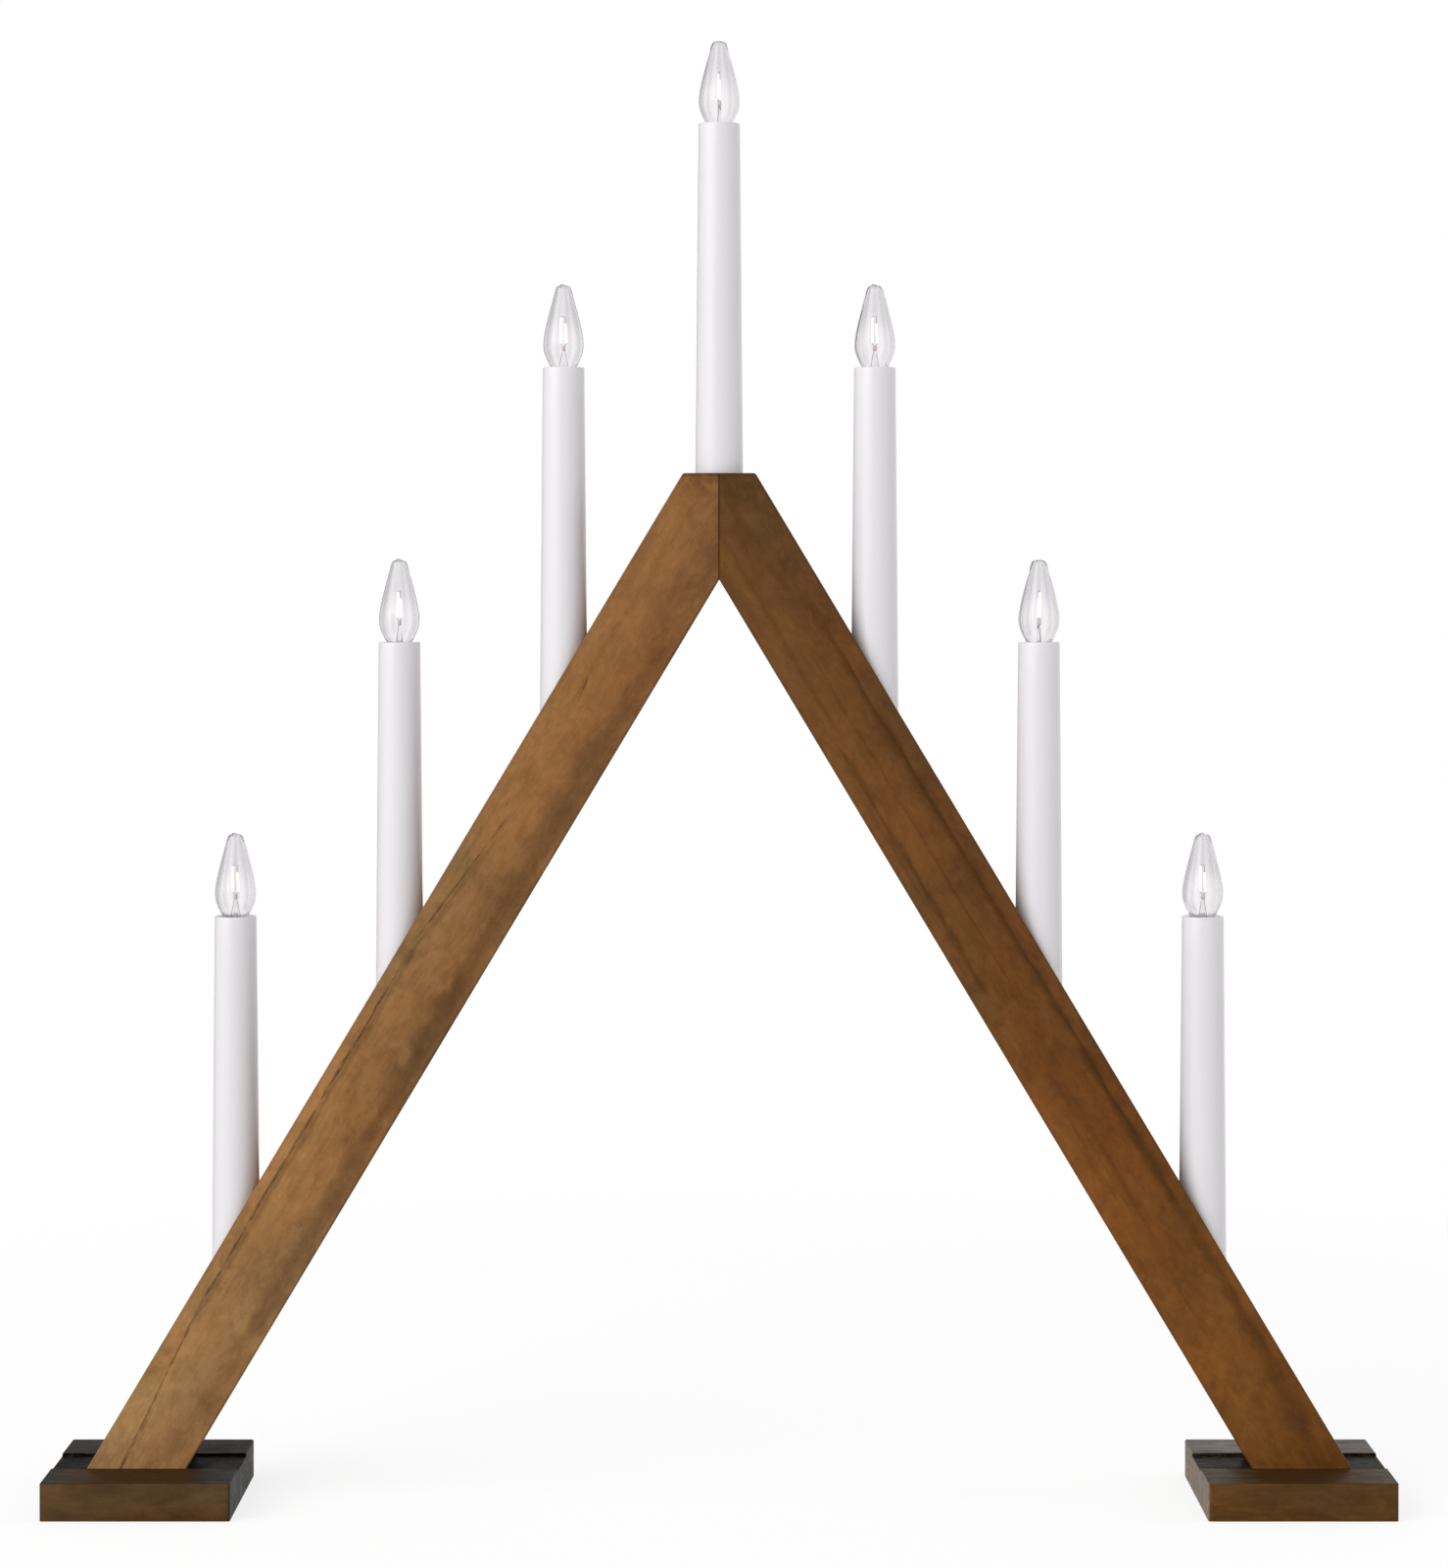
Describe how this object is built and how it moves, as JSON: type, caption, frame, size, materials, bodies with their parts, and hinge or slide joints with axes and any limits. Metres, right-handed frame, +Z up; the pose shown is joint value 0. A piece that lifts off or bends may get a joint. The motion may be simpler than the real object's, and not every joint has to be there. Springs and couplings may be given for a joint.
{
  "type": "candle arch",
  "caption": "Electric candle arch: leaning timber arms mitred at the top stand on grooved feet and carry a row of white candles with screw-in clear bulbs.",
  "frame": {"origin": "on the table, midway between the two feet and in the arch's mid-plane", "axes": "+Z up, +X to the right as seen from the front, +Y towards the back"},
  "size_m": [0.5, 0.07, 0.5492],
  "materials": {
    "stained_pine": "brown stain, satin",
    "dark_stained_pine": "dark brown stain, satin",
    "beech": "plain",
    "white_gloss_plastic": "gloss",
    "white_matte_plastic": "matte",
    "brass": "plain",
    "cap_brass": "plain",
    "clear_glass": "clear, fluted",
    "led_filament": "warm-white LED filament",
    "zinc_steel": "zinc plated",
    "wire_insulation": "matte",
    "splice_nylon": "matte",
    "grommet_rubber": "matte"
  },
  "bodies": {
    "arch": {"left_arm": "stained_pine", "right_arm": "stained_pine", "left_foot": "dark_stained_pine", "right_foot": "dark_stained_pine", "left_channel_cover": "stained_pine", "right_channel_cover": "stained_pine", "sleeve_1": "white_gloss_plastic", "sleeve_2": "white_gloss_plastic", "sleeve_3": "white_gloss_plastic", "sleeve_4": "white_gloss_plastic", "sleeve_5": "white_gloss_plastic", "sleeve_6": "white_gloss_plastic", "sleeve_7": "white_gloss_plastic", "lampholder_1": "white_matte_plastic", "lampholder_2": "white_matte_plastic", "lampholder_3": "white_matte_plastic", "lampholder_4": "white_matte_plastic", "lampholder_5": "white_matte_plastic", "lampholder_6": "white_matte_plastic", "lampholder_7": "white_matte_plastic", "screw_shells": "brass", "contact_springs": "brass", "apex_dowels": "beech", "foot_screws": "zinc_steel", "link_wires": "wire_insulation", "supply_wires": "wire_insulation", "supply_splices": "splice_nylon", "cable_grommet": "grommet_rubber"},
    "contact_1": {"centre_contact_1": "brass"},
    "bulb_1": {"bulb_cap_1": "cap_brass", "bulb_glass_1": "clear_glass", "bulb_filament_1": "led_filament"},
    "contact_2": {"centre_contact_2": "brass"},
    "bulb_2": {"bulb_cap_2": "cap_brass", "bulb_glass_2": "clear_glass", "bulb_filament_2": "led_filament"},
    "contact_3": {"centre_contact_3": "brass"},
    "bulb_3": {"bulb_cap_3": "cap_brass", "bulb_glass_3": "clear_glass", "bulb_filament_3": "led_filament"},
    "contact_4": {"centre_contact_4": "brass"},
    "bulb_4": {"bulb_cap_4": "cap_brass", "bulb_glass_4": "clear_glass", "bulb_filament_4": "led_filament"},
    "contact_5": {"centre_contact_5": "brass"},
    "bulb_5": {"bulb_cap_5": "cap_brass", "bulb_glass_5": "clear_glass", "bulb_filament_5": "led_filament"},
    "contact_6": {"centre_contact_6": "brass"},
    "bulb_6": {"bulb_cap_6": "cap_brass", "bulb_glass_6": "clear_glass", "bulb_filament_6": "led_filament"},
    "contact_7": {"centre_contact_7": "brass"},
    "bulb_7": {"bulb_cap_7": "cap_brass", "bulb_glass_7": "clear_glass", "bulb_filament_7": "led_filament"}
  },
  "joints": [
    {"name": "bulb_1_lift", "type": "slide", "parent": "arch", "child": "contact_1", "axis": [0, 0, 1], "range_m": [0, 0.00182]},
    {"name": "bulb_1_turn", "type": "hinge", "parent": "contact_1", "child": "bulb_1", "pos_m": [-0.1821, 0, 0], "axis": [0, 0, 1], "range_deg": [0, 360]},
    {"name": "bulb_2_lift", "type": "slide", "parent": "arch", "child": "contact_2", "axis": [0, 0, 1], "range_m": [0, 0.00182]},
    {"name": "bulb_2_turn", "type": "hinge", "parent": "contact_2", "child": "bulb_2", "pos_m": [-0.1203, 0, 0], "axis": [0, 0, 1], "range_deg": [0, 360]},
    {"name": "bulb_3_lift", "type": "slide", "parent": "arch", "child": "contact_3", "axis": [0, 0, 1], "range_m": [0, 0.00182]},
    {"name": "bulb_3_turn", "type": "hinge", "parent": "contact_3", "child": "bulb_3", "pos_m": [-0.0585, 0, 0], "axis": [0, 0, 1], "range_deg": [0, 360]},
    {"name": "bulb_4_lift", "type": "slide", "parent": "arch", "child": "contact_4", "axis": [0, 0, 1], "range_m": [0, 0.00182]},
    {"name": "bulb_4_turn", "type": "hinge", "parent": "contact_4", "child": "bulb_4", "pos_m": [0, 0, 0], "axis": [0, 0, 1], "range_deg": [0, 360]},
    {"name": "bulb_5_lift", "type": "slide", "parent": "arch", "child": "contact_5", "axis": [0, 0, 1], "range_m": [0, 0.00182]},
    {"name": "bulb_5_turn", "type": "hinge", "parent": "contact_5", "child": "bulb_5", "pos_m": [0.0585, 0, 0], "axis": [0, 0, 1], "range_deg": [0, 360]},
    {"name": "bulb_6_lift", "type": "slide", "parent": "arch", "child": "contact_6", "axis": [0, 0, 1], "range_m": [0, 0.00182]},
    {"name": "bulb_6_turn", "type": "hinge", "parent": "contact_6", "child": "bulb_6", "pos_m": [0.1203, 0, 0], "axis": [0, 0, 1], "range_deg": [0, 360]},
    {"name": "bulb_7_lift", "type": "slide", "parent": "arch", "child": "contact_7", "axis": [0, 0, 1], "range_m": [0, 0.00182]},
    {"name": "bulb_7_turn", "type": "hinge", "parent": "contact_7", "child": "bulb_7", "pos_m": [0.1821, 0, 0], "axis": [0, 0, 1], "range_deg": [0, 360]}
  ],
  "couplings": [
    {"joint": "bulb_1_lift", "follows": "bulb_1_turn", "m_per_rad": 0.00028871},
    {"joint": "bulb_2_lift", "follows": "bulb_2_turn", "m_per_rad": 0.00028871},
    {"joint": "bulb_3_lift", "follows": "bulb_3_turn", "m_per_rad": 0.00028871},
    {"joint": "bulb_4_lift", "follows": "bulb_4_turn", "m_per_rad": 0.00028871},
    {"joint": "bulb_5_lift", "follows": "bulb_5_turn", "m_per_rad": 0.00028871},
    {"joint": "bulb_6_lift", "follows": "bulb_6_turn", "m_per_rad": 0.00028871},
    {"joint": "bulb_7_lift", "follows": "bulb_7_turn", "m_per_rad": 0.00028871}
  ]
}
